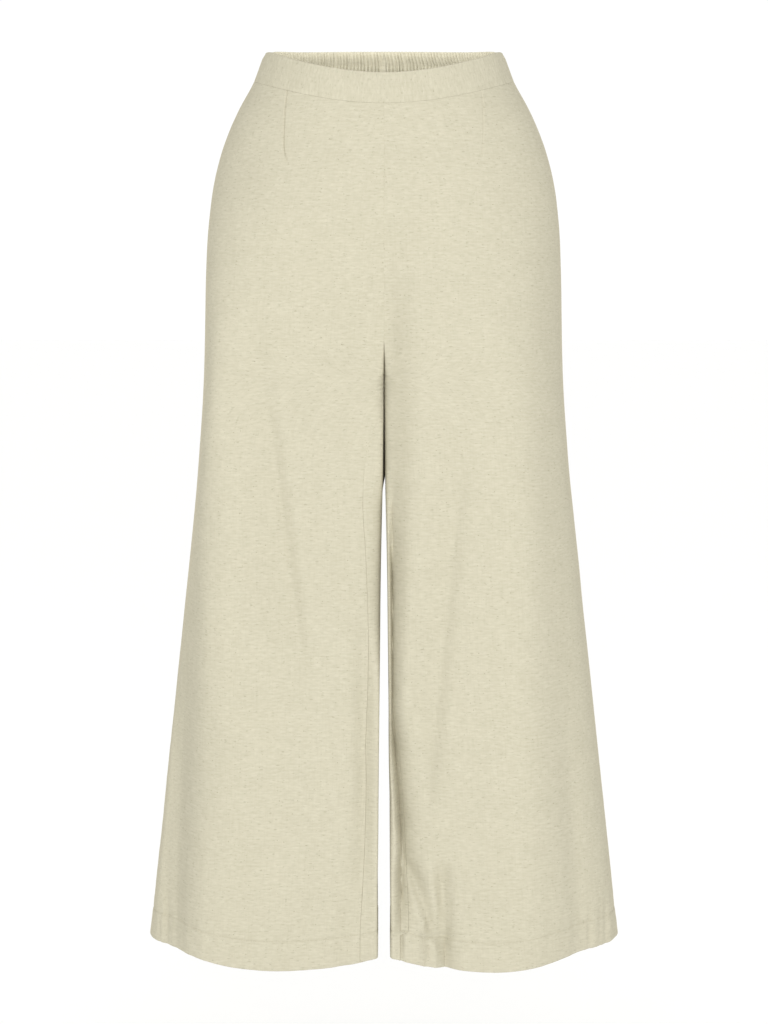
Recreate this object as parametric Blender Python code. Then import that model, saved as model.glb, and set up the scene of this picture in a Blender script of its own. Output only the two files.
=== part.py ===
"""High-waisted culottes in a slubbed linen blend, standing open as they hang on a wearer.

+Z is up, the front faces -Y and the wearer's left is +X. The origin is the middle of the
waist, at half the height of the waistband, where a body holds the garment up.
Sizes are in millimetres and are turned to metres when a mesh is made.
"""

import math

import bmesh
import bpy
import numpy as np

MM = 0.001

# Driving sizes
SEAM_GAP = 0.3            # clearance between two pieces at a seam
CLOTH = 1.6               # wall of one layer of cloth
BAND_WALL = 2.4           # waistband: two layers and an interfacing
ELASTIC_WALL = 2.2        # back waistband between its gathers: two layers and the elastic
GATHER_HEIGHT = 1.3       # how far a gather stands out, on each face of the back waistband
BAND_GATHERS = 60         # gathers along the back waistband
PANEL_GATHERS = 12        # wider gathers at the top of each back panel
PANEL_GATHER_HEIGHT = 2.2
PANEL_GATHER_FADE = 95.0  # the panel's gathers have smoothed out this far below the band
HEM_DEPTH = 31.0          # turned-up hem, a second layer inside
HEM_STEP = 1.5            # height over which the second layer sets in
DART_LENGTH = 82.0
DART_DEPTH = 1.1
DART_WIDTH = 8.0
DART_TOP = 0.505          # share of the way from the centre front to the side seam
DART_TIP = 0.44

# Heights at the side seams, and how far the edges rise or dip elsewhere
BAND_TOP = 15.2
BAND_HALF = 190.0         # length of half of the front or back waistband, on its curve
WAIST_SEAM = -15.6
HEM = -920.0
FRONT_DIP = 26.4          # the waist is lower at the centre front
BACK_RISE = 6.8           # and a little higher at the centre back
DIP_POWER = 2.1
WAIST_FADE = 120.0        # below the waist seam the rows level out over this height
HEM_FADE = 260.0          # the rows level out over this height above the hem
SIDE_SEAM_BACK = 7.0      # the side seams lie behind the widest line by this much
EDGE_COLUMN = 3.0         # width of the narrow strip of faces beside a seam

# The fork: where the centre seams turn under the body to the top of the inseams
CROTCH = -315.0
CROTCH_Y = -45.0
FORK_START = {"front": -222.0, "back": -145.0}
FORK_TURN = math.radians(72.0)
CORNER_EASE = 1.7         # the inner corners are full once the fork is this many times deeper

# Outline of one side, measured from the centre plane. "side" is the half width, "front" and
# "back" the greatest depths, each reached at a distance of "..._crest" from the centre plane.
# "gap" is half the space between the legs. The inner side is flat but for its corners, which
# take up "..._corner" of the depth.
PROFILE_COLUMNS = (
    "z", "side", "front", "back", "front_crest", "back_crest", "gap", "front_corner", "back_corner",
)
PROFILE = (
    (20.0, 120.0, 92.0, 94.0, 0.0, 0.0, 0.0, 38.0, 90.0),
    (-15.0, 133.0, 98.0, 101.0, 0.0, 0.0, 0.0, 38.0, 90.0),
    (-45.0, 149.4, 101.5, 110.0, 0.0, 0.0, 0.0, 38.0, 90.0),
    (-75.0, 162.4, 104.0, 117.0, 3.0, 6.0, 0.15, 38.0, 90.0),
    (-115.0, 173.9, 107.0, 125.0, 9.0, 16.0, 0.15, 38.0, 90.0),
    (-160.0, 180.0, 109.0, 130.0, 17.0, 28.0, 0.15, 38.0, 90.0),
    (-215.0, 182.6, 110.5, 131.0, 28.0, 46.0, 0.15, 38.0, 90.0),
    (-250.0, 183.1, 111.0, 130.0, 38.0, 60.0, 0.15, 38.0, 90.0),
    (-285.0, 183.7, 111.5, 128.0, 51.0, 77.0, 0.2, 38.0, 90.0),
    (-315.0, 184.5, 112.0, 126.0, 66.0, 88.0, 0.3, 38.0, 90.0),
    (-400.0, 190.5, 111.5, 121.0, 84.0, 95.0, 0.9, 44.0, 92.0),
    (-510.0, 202.2, 110.0, 117.0, 96.0, 102.0, 3.1, 50.0, 94.0),
    (-655.0, 218.2, 108.5, 115.0, 104.0, 108.0, 4.7, 52.0, 96.0),
    (-815.0, 236.0, 107.0, 113.0, 109.0, 114.0, 6.1, 52.0, 98.0),
    (-905.0, 246.0, 106.0, 112.0, 112.0, 118.0, 6.3, 52.0, 98.0),
    (-940.0, 250.0, 106.0, 112.0, 113.0, 119.0, 6.3, 52.0, 98.0),
)

# How square each corner of the section is: 2 is an ellipse, more is boxier.
CORNER_COLUMNS = ("z", "inner_front", "outer_front", "outer_back", "inner_back")
CORNERS = {
    "right": (
        (20.0, 2.0, 2.0, 2.0, 2.0),
        (-120.0, 2.4, 2.1, 2.1, 2.2),
        (-240.0, 2.5, 2.6, 2.2, 2.2),
        (-315.0, 2.6, 3.3, 2.2, 2.2),
        (-360.0, 2.6, 3.2, 2.2, 2.2),
        (-440.0, 5.0, 3.1, 2.2, 2.3),
        (-600.0, 10.0, 2.6, 2.2, 2.4),
        (-940.0, 12.0, 2.4, 2.2, 2.4),
    ),
    "left": (
        (20.0, 2.0, 2.0, 2.0, 2.0),
        (-120.0, 2.4, 2.1, 2.1, 2.2),
        (-240.0, 2.4, 2.2, 2.2, 2.2),
        (-430.0, 2.5, 2.5, 2.2, 2.3),
        (-600.0, 3.6, 2.5, 2.2, 2.4),
        (-720.0, 2.8, 2.5, 2.2, 2.4),
        (-790.0, 4.0, 2.5, 2.2, 2.4),
        (-860.0, 7.0, 2.5, 2.2, 2.4),
        (-940.0, 9.0, 2.4, 2.2, 2.4),
    ),
}

# The legs hang with a twist that brings each inseam round to the front: its distance
# outside the leg's innermost line.
INSEAM_COLUMNS = ("z", "right", "left")
INSEAM = (
    (-315.0, 0.0, 0.0),
    (-345.0, 4.0, 0.2),
    (-394.0, 17.0, 0.5),
    (-425.0, 19.6, 0.7),
    (-508.0, 14.6, 1.2),
    (-590.0, 11.5, 2.2),
    (-627.0, 12.0, 3.2),
    (-685.0, 13.6, 9.0),
    (-750.0, 15.0, 13.8),
    (-815.0, 16.6, 16.6),
    (-905.0, 18.4, 19.2),
    (-940.0, 18.6, 19.4),
)

# Between the thighs the back parts of the two legs press on each other and lean to the
# wearer's left, so that the narrow gap isn't straight.
LEAN = {"shift": 4.0, "top": -285.0, "bottom": -425.0, "from_y": -70.0, "to_y": 10.0}

# Height of each hem above its lowest line, across the leg from its inner side, 0, to its
# flared outer side, 1.
HEM_COLUMNS = ("share", "rise")
HEM_LINE = (
    (0.0, 6.2),
    (0.16, 4.9),
    (0.27, 2.5),
    (0.43, 1.0),
    (0.6, 4.6),
    (0.8, 13.3),
    (0.93, 19.4),
    (1.0, 22.5),
)

# Soft folds of the hanging cloth. x is measured from the centre plane outwards at the top
# and the bottom of the fold, "reach" is its half width and "height" is negative in a trough.
FOLD_COLUMNS = ("side", "face", "z_top", "z_bottom", "x_top", "x_bottom", "reach", "height")
FOLDS = (
    ("right", "front", -250.0, -700.0, 133.0, 70.0, 18.0, -4.5),
    ("right", "front", -420.0, -1060.0, 150.0, 176.0, 24.0, 3.0),
    ("right", "front", -300.0, -1000.0, 192.0, 231.0, 14.0, -7.0),
    ("left", "front", -350.0, -690.0, 90.0, 58.0, 18.0, -4.0),
    ("left", "front", -60.0, -1060.0, 136.0, 150.0, 26.0, 5.0),
    ("left", "front", -160.0, -1060.0, 176.0, 208.0, 16.0, -4.0),
    ("left", "front", -245.0, -640.0, 16.0, 20.0, 22.0, -4.0),
    ("left", "front", -560.0, -1120.0, 20.0, 22.0, 13.0, -6.0),
    ("right", "back", -330.0, -760.0, 120.0, 92.0, 24.0, -4.0),
    ("right", "back", -480.0, -1100.0, 60.0, 74.0, 22.0, 3.5),
    ("right", "back", -620.0, -1100.0, 172.0, 190.0, 20.0, -3.5),
    ("left", "back", -350.0, -800.0, 104.0, 84.0, 24.0, -4.0),
    ("left", "back", -520.0, -1100.0, 152.0, 176.0, 22.0, 3.0),
    ("left", "back", -640.0, -1100.0, 66.0, 60.0, 20.0, -3.0),
)

# The gathers' fullness at each height of the back waistband, from its top edge, 1, to the
# waist seam, 0. The casing's stitching is the row with the least.
BAND_FULLNESS = ((1.0, 0.55), (0.8, 1.0), (0.57, 0.45), (0.3, 1.0), (0.0, 0.8))

# Mesh resolution
PANEL_COLUMNS = 18
BAND_COLUMNS = 12         # in each half of the front waistband
GATHER_SPLIT = 3          # the gathered top of a back panel has this many times the columns
GATHER_ROWS = 5
SECTION_POINTS = 60       # points that trace one quarter of a section
NORMAL_STEP = 0.5         # a normal is taken over this distance on each side of its point
DART_COLUMN = 9
SHARP = math.radians(35)  # edges that turn by more than this are shaded as edges

LINEN = {"colour": (0.74, 0.70, 0.55), "roughness": 0.9}
SIDES = {"right": -1.0, "left": 1.0}


def smooth(columns, table, name, at):
    """A column of a table, read at a value of its first column, on a smooth curve through
    the table's rows."""
    rows = sorted(table)
    places = np.array([row[0] for row in rows])
    values = np.array([row[columns.index(name)] for row in rows])
    slopes = np.gradient(values, places)
    flat = np.diff(values) == 0.0
    slopes[:-1][flat] = 0.0
    slopes[1:][flat] = 0.0
    i = int(np.clip(np.searchsorted(places, at) - 1, 0, len(rows) - 2))
    step = places[i + 1] - places[i]
    t = min(max((at - places[i]) / step, 0.0), 1.0)
    return (
        values[i] * (1 + 2 * t) * (1 - t) ** 2
        + values[i + 1] * t * t * (3 - 2 * t)
        + slopes[i] * step * t * (1 - t) ** 2
        + slopes[i + 1] * step * t * t * (t - 1)
    )


def profile(name, z):
    return smooth(PROFILE_COLUMNS, PROFILE, name, z)


def ramp(value, start, end):
    """0 at start, 1 at end, and a smooth rise between them."""
    t = min(max((value - start) / (end - start), 0.0), 1.0)
    return t * t * (3 - 2 * t)


def fork_depth(z, face):
    """How far the centre seam lies inside the crest of its face, from 0 to the whole fork:
    an arc that turns by FORK_TURN, stretched to the fork's height and depth."""
    start = FORK_START[face]
    whole = profile(face, CROTCH) + (CROTCH_Y if face == "front" else -CROTCH_Y)
    share = min(max((start - z) / (start - CROTCH), 0.0), 1.0)
    turned = math.asin(share * math.sin(FORK_TURN))
    return whole * (1 - math.cos(turned)) / (1 - math.cos(FORK_TURN))


def quarter(centre, reach_x, reach_y, power, inner):
    """A quarter of a superellipse round centre, traced from the inner end towards the side."""
    angle = np.linspace(0.0, math.pi / 2, SECTION_POINTS)
    rise, fall = np.sin(angle) ** (2 / power), np.cos(angle) ** (2 / power)
    along, across = (-fall, rise) if inner else (rise, fall)
    return np.column_stack((centre[0] + reach_x * along, centre[1] + reach_y * across))


def half_section(z, face, side):
    """Outline of one face at height z, from the inner end to the side seam, for the +X leg."""
    sign = -1.0 if face == "front" else 1.0
    depth, gap, width = profile(face, z), profile("gap", z), profile("side", z)
    crest, corner = max(profile(face + "_crest", z), gap), profile(face + "_corner", z)
    inner_y = max(CROTCH_Y, profile("front_corner", z) - profile("front", z))
    if z > CROTCH:
        fork = fork_depth(z, face)
        inner_y = sign * (depth - fork)
        corner *= 1 - (1 - min(fork / corner / CORNER_EASE, 1.0)) ** CORNER_EASE
    squareness = [
        smooth(CORNER_COLUMNS, CORNERS[side], part + "_" + face, z) for part in ("inner", "outer")
    ]
    corner_y = sign * (depth - corner)
    inner = quarter((crest, corner_y), crest - gap, sign * corner, squareness[0], True)
    outer = quarter((crest, 0.0), width - crest, sign * depth, squareness[1], False)
    return np.vstack(((gap, inner_y), inner, outer[1:]))


def section(z, side):
    """The outline of one side at height z, from the front's inner end round by the side to the
    back's. Below the fork it runs on over its own start. Also gives the distances along it
    of its points, and of the inseam, the side seam and the outline's end."""
    front, back = half_section(z, "front", side), half_section(z, "back", side)
    points = np.vstack((front, back[-2::-1]))
    if z <= CROTCH:
        points = np.vstack((points, front[1:SECTION_POINTS + 1]))
    along = np.concatenate(([0.0], np.cumsum(np.hypot(*np.diff(points, axis=0).T) + 1e-9)))
    inseam = 0.0
    if z <= CROTCH:
        reach = profile("gap", z) + smooth(INSEAM_COLUMNS, INSEAM, side, z)
        inseam = np.interp(reach, front[1:SECTION_POINTS, 0], along[1:SECTION_POINTS])
    side_seam = along[len(front) - 1] + SIDE_SEAM_BACK
    return along, points, inseam, side_seam, along[len(front) + len(back) - 2]


def fold_height(side, face, x, z):
    """Sum of the soft folds at one point: a bell across each fold, fading in at its ends."""
    total = 0.0
    for row in FOLDS:
        fold = dict(zip(FOLD_COLUMNS, row))
        if (fold["side"], fold["face"]) != (side, face):
            continue
        share = (fold["z_top"] - z) / (fold["z_top"] - fold["z_bottom"])
        if not 0.0 < share < 1.0:
            continue
        middle = fold["x_top"] + (fold["x_bottom"] - fold["x_top"]) * share
        bell = math.exp(-(((x - middle) / fold["reach"]) ** 2))
        total += fold["height"] * bell * ramp(share, 0.0, 0.4) * ramp(share, 1.0, 0.75)
    return total


def place_on(z, side, face, t, edge):
    """Distance along the section of a point of a panel: t runs from the panel's inner seam, 0,
    to its side seam, 1, and edge is its clearance from the seams."""
    _, _, inseam, side_seam, end = section(z, side)
    start = max(edge - profile("gap", z), 0.0) if z > CROTCH else edge
    if face == "front":
        return inseam + start + t * (side_seam - edge - inseam - start)
    return end + inseam - start + t * (side_seam + edge - end - inseam + start)


def lean(x, y, z):
    """Sideways shift of the inner walls between the thighs."""
    shift = LEAN["shift"] * ramp(z, LEAN["bottom"], LEAN["bottom"] + 30.0)
    shift *= ramp(z, LEAN["top"] + 15.0, LEAN["top"] - 10.0)
    return shift * ramp(y, LEAN["from_y"], LEAN["to_y"]) * ramp(x, 40.0, 5.0)


def wall_at(z, side, face, t, raised, wall, edge=SEAM_GAP / 2):
    """Outer and inner point of the cloth's wall, on the level at height z. Both are moved
    from the section along its own normal."""
    along, points = section(z, side)[:2]
    place = place_on(z, side, face, t, edge)
    x, y = (np.interp(place, along, points[:, axis]) for axis in (0, 1))
    span = np.clip((place - NORMAL_STEP, place + NORMAL_STEP), 0.0, along[-1])
    tangent = [np.diff(np.interp(span, along, points[:, axis]))[0] for axis in (0, 1)]
    outward = np.array((tangent[1], -tangent[0])) / math.hypot(*tangent)
    raised += fold_height(side, "front" if y < 0 else "back", x, z) * ramp(abs(outward[1]), 0.1, 0.5)
    pair = []
    for height in (raised, raised - wall):
        px, py = x + outward[0] * height, y + outward[1] * height
        pair.append((SIDES[side] * px + lean(px, py, z), py, z))
    return pair


def waist_offset(face, t):
    """Height of the waist line above its level at the side seams."""
    turn = math.cos(t * math.pi / 2)
    if face == "front":
        return -FRONT_DIP * turn ** DIP_POWER
    return BACK_RISE * turn ** 2


def row_height(level, side, face, t):
    """Height of a point of the row that meets the side seam at this level."""
    near_waist = 1 - (WAIST_SEAM - SEAM_GAP - level) / WAIST_FADE
    z = level + waist_offset(face, t) * max(near_waist, 0.0) ** 2
    near_hem = max(1 - (level - HEM) / HEM_FADE, 0.0) ** 1.5
    if near_hem > 0.0:
        x = abs(wall_at(level, side, face, t, 0.0, 0.0)[0][0])
        gap, width = profile("gap", level), profile("side", level)
        z += near_hem * smooth(HEM_COLUMNS, HEM_LINE, "rise", (x - gap) / (width - gap))
    return z


def panel_levels():
    """Levels of a panel's rows: the seat, the fork in even steps along its curve, the leg,
    and the hem with a short step where its second layer begins."""
    seat = [WAIST_SEAM - SEAM_GAP - drop for drop in (0.0, 12.0, 28.0, 46.0, 66.0, 92.0)]
    seat += list(np.linspace(-140.0, -205.0, 3))
    turns = np.linspace(0.12, 1.0, 8) * FORK_TURN
    share = np.sin(turns) / math.sin(FORK_TURN)
    fork = list(FORK_START["front"] + (CROTCH - FORK_START["front"]) * share)
    leg = [CROTCH - 14.0, CROTCH - 34.0, CROTCH - 60.0]
    leg += list(np.linspace(CROTCH - 95.0, HEM + HEM_DEPTH + 30.0, 11))
    hem = [HEM + HEM_DEPTH + HEM_STEP, HEM + HEM_DEPTH, HEM]
    return seat + fork + leg + hem


def spaced(count, length):
    """Shares from 0 to 1: a narrow column beside each seam, and even ones between."""
    edge = EDGE_COLUMN / length
    return np.concatenate(([0.0], np.linspace(edge, 1 - edge, count - 1), [1.0]))


def back_columns(level, length, side):
    """Columns of a back panel. Below the fork the second runs down the leg's inner corner."""
    even = spaced(PANEL_COLUMNS, length)
    if level > CROTCH:
        return even
    corner = max(smooth(INSEAM_COLUMNS, INSEAM, side, level), 2 * EDGE_COLUMN)
    anchors = (0.0, EDGE_COLUMN / length, corner / length, 1 - EDGE_COLUMN / length, 1.0)
    return np.interp(range(PANEL_COLUMNS + 1), (0, 1, 2, PANEL_COLUMNS - 1, PANEL_COLUMNS), anchors)


def front_columns(level, length):
    """Columns of a front panel. Three close in on the dart and spread out again below it."""
    even = spaced(PANEL_COLUMNS, length)
    dart = DART_TOP + (DART_TIP - DART_TOP) * min((WAIST_SEAM - level) / DART_LENGTH, 1.0)
    edge, half_dart = EDGE_COLUMN / length, DART_WIDTH / 2 / length
    anchors = (0.0, edge, dart - half_dart, dart, dart + half_dart, 1 - edge, 1.0)
    places = (0, 1, DART_COLUMN - 1, DART_COLUMN, DART_COLUMN + 1, PANEL_COLUMNS - 1, PANEL_COLUMNS)
    pinched = np.interp(range(PANEL_COLUMNS + 1), places, anchors)
    weight = ramp(level, WAIST_SEAM - 2.2 * DART_LENGTH, WAIST_SEAM - DART_LENGTH)
    return even + (pinched - even) * weight


def skin(mesh, rows):
    """Faces through rows of points. Where one row has a whole number of times as many points
    as the next, each long edge is joined to its short ones by a fan of triangles."""
    for upper, lower in zip(rows, rows[1:]):
        if len(upper) == len(lower):
            for a, b, c, d in zip(upper, upper[1:], lower[1:], lower):
                mesh.faces.new((a, b, c, d))
            continue
        split = (len(upper) - 1) // (len(lower) - 1)
        half = (split + 1) // 2
        for j, (c, d) in enumerate(zip(lower, lower[1:])):
            fan = upper[j * split:(j + 1) * split + 1]
            for a, b in zip(fan[:half], fan[1:half + 1]):
                mesh.faces.new((a, b, c))
            mesh.faces.new((fan[half], d, c))
            for a, b in zip(fan[half:], fan[half + 1:]):
                mesh.faces.new((a, b, d))


def add_wall(name, rows, collection):
    """Adds a closed wall of cloth. rows holds, for each row, its pairs of an outer and an
    inner point; the two skins are joined by a rim round all four edges."""
    wall = bmesh.new()
    skins = []
    for layer in (0, 1):
        made = [[wall.verts.new(np.array(pair[layer]) * MM) for pair in row] for row in rows]
        skin(wall, made)
        skins.append(made)
    rims = [
        made[0] + [row[-1] for row in made[1:-1]] + made[-1][::-1] + [row[0] for row in made[-2:0:-1]]
        for made in skins
    ]
    following = [rim[1:] + rim[:1] for rim in rims]
    for quad in zip(rims[0], following[0], following[1], rims[1]):
        wall.faces.new(quad)
    bmesh.ops.recalc_face_normals(wall, faces=wall.faces)
    mesh = bpy.data.meshes.new(name)
    wall.to_mesh(mesh)
    wall.free()
    mesh.shade_smooth()
    mesh.set_sharp_from_angle(angle=SHARP)
    mesh.materials.append(linen(name + "_linen"))
    collection.objects.link(bpy.data.objects.new(name, mesh))


def linen(name):
    """Slubbed linen blend, pale and dry."""
    material = bpy.data.materials.new(name)
    material.use_nodes = True
    surface = material.node_tree.nodes["Principled BSDF"]
    surface.inputs["Base Color"].default_value = (*LINEN["colour"], 1.0)
    surface.inputs["Roughness"].default_value = LINEN["roughness"]
    surface.inputs["Metallic"].default_value = 0.0
    return material


def panel_gather(below, t):
    """Height of a back panel's gathers: uneven waves that swell just below the waistband,
    smooth out further down, and stop short of the seams."""
    swell = ramp(below, -12.0, 24.0) * max(1 - below / PANEL_GATHER_FADE, 0.0)
    wave = math.sin(2 * math.pi * PANEL_GATHERS * t + 0.9 * math.sin(9 * t))
    return PANEL_GATHER_HEIGHT * swell * wave * ramp(t, 0.0, 0.05) * ramp(t, 1.0, 0.9)


def panel(side, face, collection):
    """A front or back panel, from the waist seam to the hem. A front has a dart, and the top
    of a back is gathered with its waistband."""
    rows = []
    for number, level in enumerate(panel_levels()):
        length = abs(np.diff([place_on(level, side, face, t, 0.0) for t in (0.0, 1.0)])[0])
        below = WAIST_SEAM - level
        if face == "front":
            shares = front_columns(level, length)
        elif number <= GATHER_ROWS:
            shares = spaced(PANEL_COLUMNS * GATHER_SPLIT, length)
        else:
            shares = back_columns(level, length, side)
        wall = 2 * CLOTH if level <= HEM + HEM_DEPTH else CLOTH
        row = []
        for column, t in enumerate(shares):
            raised = 0.0
            if face == "front" and column == DART_COLUMN:
                raised = -DART_DEPTH * ramp(below, DART_LENGTH + 12.0, DART_LENGTH - 6.0)
            if face == "back" and number <= GATHER_ROWS:
                raised = panel_gather(below, t)
            row.append(wall_at(row_height(level, side, face, t), side, face, t, raised, wall))
        rows.append(row)
    add_wall("%s_%s" % (face, side), rows, collection)


def band_pair(face, place, share, raised, wall):
    """Outer and inner point of a waistband. place runs from -1, the right side seam, over 0,
    the centre, to 1, the left; share runs from 0, the waist seam, to 1, the top edge."""
    side = "left" if place > 0 else "right"
    t = abs(place) * (1 - SEAM_GAP / 2 / BAND_HALF)
    z = WAIST_SEAM + (BAND_TOP - WAIST_SEAM) * share + waist_offset(face, t)
    return wall_at(z, side, face, t, raised, wall, edge=0.0)


def front_band(collection):
    """The flat front half of the waistband."""
    half = spaced(BAND_COLUMNS, BAND_HALF)[1:]
    places = np.concatenate((-half[::-1], [0.0], half))
    rows = [
        [band_pair("front", place, share, 0.0, BAND_WALL) for place in places]
        for share in (1.0, 0.5, 0.0)
    ]
    add_wall("waistband_front", rows, collection)


def back_band(collection):
    """The elastic back half of the waistband. Its gathers stand out on both faces, and are
    held down at the casing's row of stitching."""
    rows = []
    for share, fullness in BAND_FULLNESS:
        row = []
        for number, place in enumerate(np.linspace(-1.0, 1.0, 2 * BAND_GATHERS + 1)):
            crest = number % 2
            uneven = 0.8 + 0.2 * math.sin(1.15 * number)
            lift = GATHER_HEIGHT * fullness * crest * uneven * ramp(abs(place), 1.0, 0.97)
            row.append(band_pair("back", place, share, lift, ELASTIC_WALL + 2 * lift))
        rows.append(row)
    add_wall("waistband_back", rows, collection)


def build():
    for old in list(bpy.data.objects):
        bpy.data.objects.remove(old)
    collection = bpy.data.collections.new("culottes")
    bpy.context.scene.collection.children.link(collection)
    for side in SIDES:
        for face in ("front", "back"):
            panel(side, face, collection)
    front_band(collection)
    back_band(collection)


build()
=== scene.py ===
import math

import bpy
import numpy as np
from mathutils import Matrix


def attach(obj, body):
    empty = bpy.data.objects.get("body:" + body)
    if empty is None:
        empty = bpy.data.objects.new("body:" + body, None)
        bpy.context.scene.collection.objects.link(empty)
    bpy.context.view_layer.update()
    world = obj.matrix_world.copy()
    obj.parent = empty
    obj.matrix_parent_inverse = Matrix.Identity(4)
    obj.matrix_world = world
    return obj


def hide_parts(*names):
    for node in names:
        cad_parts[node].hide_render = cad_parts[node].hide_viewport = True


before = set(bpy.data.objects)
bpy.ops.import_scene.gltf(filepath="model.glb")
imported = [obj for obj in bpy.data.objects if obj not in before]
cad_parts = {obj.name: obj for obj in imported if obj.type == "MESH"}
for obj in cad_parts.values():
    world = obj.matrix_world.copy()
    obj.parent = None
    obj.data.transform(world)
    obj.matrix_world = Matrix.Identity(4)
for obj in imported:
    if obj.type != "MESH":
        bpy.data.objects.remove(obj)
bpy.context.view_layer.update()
print("frame loaded:", len(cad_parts), "solids")

mm = 0.001
tiny = 1e-9  # keeps a length above nought
sides = {"right": -1.0, "left": 1.0}

# The form of the filled-out garment in mm, as in the solids. Each row gives, at one height, the
# half width, the depths of front and back and how far from the centre plane each is reached,
# half the space between the legs, and the depth of the inner corners.
form = {
    "columns": (
        "z", "side", "front", "back", "frontCrest", "backCrest", "gap", "frontCorner", "backCorner",
    ),
    "rows": (
        (20.0, 120.0, 92.0, 94.0, 0.0, 0.0, 0.0, 38.0, 90.0),
        (-15.0, 133.0, 98.0, 101.0, 0.0, 0.0, 0.0, 38.0, 90.0),
        (-45.0, 149.4, 101.5, 110.0, 0.0, 0.0, 0.0, 38.0, 90.0),
        (-75.0, 162.4, 104.0, 117.0, 3.0, 6.0, 0.15, 38.0, 90.0),
        (-115.0, 173.9, 107.0, 125.0, 9.0, 16.0, 0.15, 38.0, 90.0),
        (-160.0, 180.0, 109.0, 130.0, 17.0, 28.0, 0.15, 38.0, 90.0),
        (-215.0, 182.6, 110.5, 131.0, 28.0, 46.0, 0.15, 38.0, 90.0),
        (-250.0, 183.1, 111.0, 130.0, 38.0, 60.0, 0.15, 38.0, 90.0),
        (-285.0, 183.7, 111.5, 128.0, 51.0, 77.0, 0.2, 38.0, 90.0),
        (-315.0, 184.5, 112.0, 126.0, 66.0, 88.0, 0.3, 38.0, 90.0),
        (-400.0, 190.5, 111.5, 121.0, 84.0, 95.0, 0.9, 44.0, 92.0),
        (-510.0, 202.2, 110.0, 117.0, 96.0, 102.0, 3.1, 50.0, 94.0),
        (-655.0, 218.2, 108.5, 115.0, 104.0, 108.0, 4.7, 52.0, 96.0),
        (-815.0, 236.0, 107.0, 113.0, 109.0, 114.0, 6.1, 52.0, 98.0),
        (-905.0, 246.0, 106.0, 112.0, 112.0, 118.0, 6.3, 52.0, 98.0),
        (-940.0, 250.0, 106.0, 112.0, 113.0, 119.0, 6.3, 52.0, 98.0),
    ),
}

# How square each corner of the section is: 2 is an ellipse, more is boxier.
corners = {
    "columns": ("z", "innerFront", "outerFront", "outerBack", "innerBack"),
    "right": (
        (20.0, 2.0, 2.25, 2.0, 2.0),
        (-120.0, 2.4, 2.35, 2.1, 2.2),
        (-240.0, 6.0, 4.0, 2.2, 2.2),
        (-315.0, 30.0, 5.2, 2.2, 2.2),
        (-400.0, 30.0, 4.5, 2.2, 2.3),
        (-440.0, 10.0, 3.9, 2.2, 2.3),
        (-480.0, 8.0, 3.5, 2.2, 2.3),
        (-540.0, 6.5, 3.2, 2.2, 2.4),
        (-575.0, 8.0, 2.9, 2.2, 2.4),
        (-600.0, 14.0, 2.7, 2.2, 2.4),
        (-630.0, 34.0, 2.4, 2.2, 2.4),
        (-940.0, 40.0, 2.1, 2.2, 2.4),
    ),
    "left": (
        (20.0, 2.0, 2.25, 2.0, 2.0),
        (-120.0, 2.4, 2.25, 2.1, 2.2),
        (-240.0, 6.0, 2.3, 2.2, 2.2),
        (-315.0, 16.0, 2.6, 2.2, 2.2),
        (-430.0, 18.0, 2.6, 2.2, 2.3),
        (-600.0, 14.0, 2.25, 2.2, 2.4),
        (-780.0, 20.0, 2.1, 2.2, 2.4),
        (-850.0, 34.0, 2.1, 2.2, 2.4),
        (-940.0, 40.0, 2.1, 2.2, 2.4),
    ),
}

# Distance of each inseam outside its leg's innermost line. The left one jogs inwards where the
# hem is stitched.
inseams = {
    "columns": ("z", "right", "left"),
    "rows": (
        (-315.0, 0.0, 0.0),
        (-345.0, 4.0, 0.2),
        (-394.0, 17.0, 0.5),
        (-425.0, 19.6, 0.7),
        (-508.0, 14.6, 1.2),
        (-590.0, 11.5, 2.2),
        (-627.0, 12.0, 3.2),
        (-685.0, 13.6, 9.0),
        (-750.0, 15.0, 13.8),
        (-815.0, 16.6, 16.6),
        (-872.0, 18.0, 18.8),
        (-879.0, 18.1, 18.8),
        (-882.5, 18.1, 10.2),
        (-940.0, 18.6, 10.2),
    ),
}

# Heights of the seams at the sides, how the edges dip and rise away from there, and the fork,
# where the centre seams turn under the body to the inseams.
cut = {
    "bandTop": 15.2,
    "waistSeam": -15.6,
    "hem": -920.0,
    "frontDip": 26.4,  # the waist is lower at the centre front
    "dipPower": 2.1,
    "backRise": 6.8,  # and a little higher at the centre back
    "waistFade": 120.0,  # below the waist seam the rows level out over this height
    "hemFade": 260.0,  # and above the hem they take on its line over this height
    "hemPower": 1.5,
    "sideSeamBack": 7.0,  # the side seams lie behind the widest line by this much
    "crotch": -315.0,
    "crotchY": -45.0,
    "legsPart": 40.0,  # above the crotch point the space between the legs sets in
    "forkStart": {"front": -279.0, "back": -145.0},
    "forkTurn": math.radians(72.0),
    "cornerEase": 1.7,  # the inner corners are full once the fork is this many times deeper
    "swing": 50.0,  # height over which an inseam swings round to the front
}

# Height of the hem above its lowest line, across the leg from its inner side, 0, to its outer
# side, 1.
hemLine = {
    "columns": ("share", "rise"),
    "rows": (
        (0.0, 14.0),
        (0.03, 12.6),
        (0.06, 10.6),
        (0.1, 8.2),
        (0.16, 5.6),
        (0.27, 2.8),
        (0.43, 1.0),
        (0.6, 4.6),
        (0.8, 13.0),
        (0.93, 16.0),
        (1.0, 17.5),
    ),
}


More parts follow.
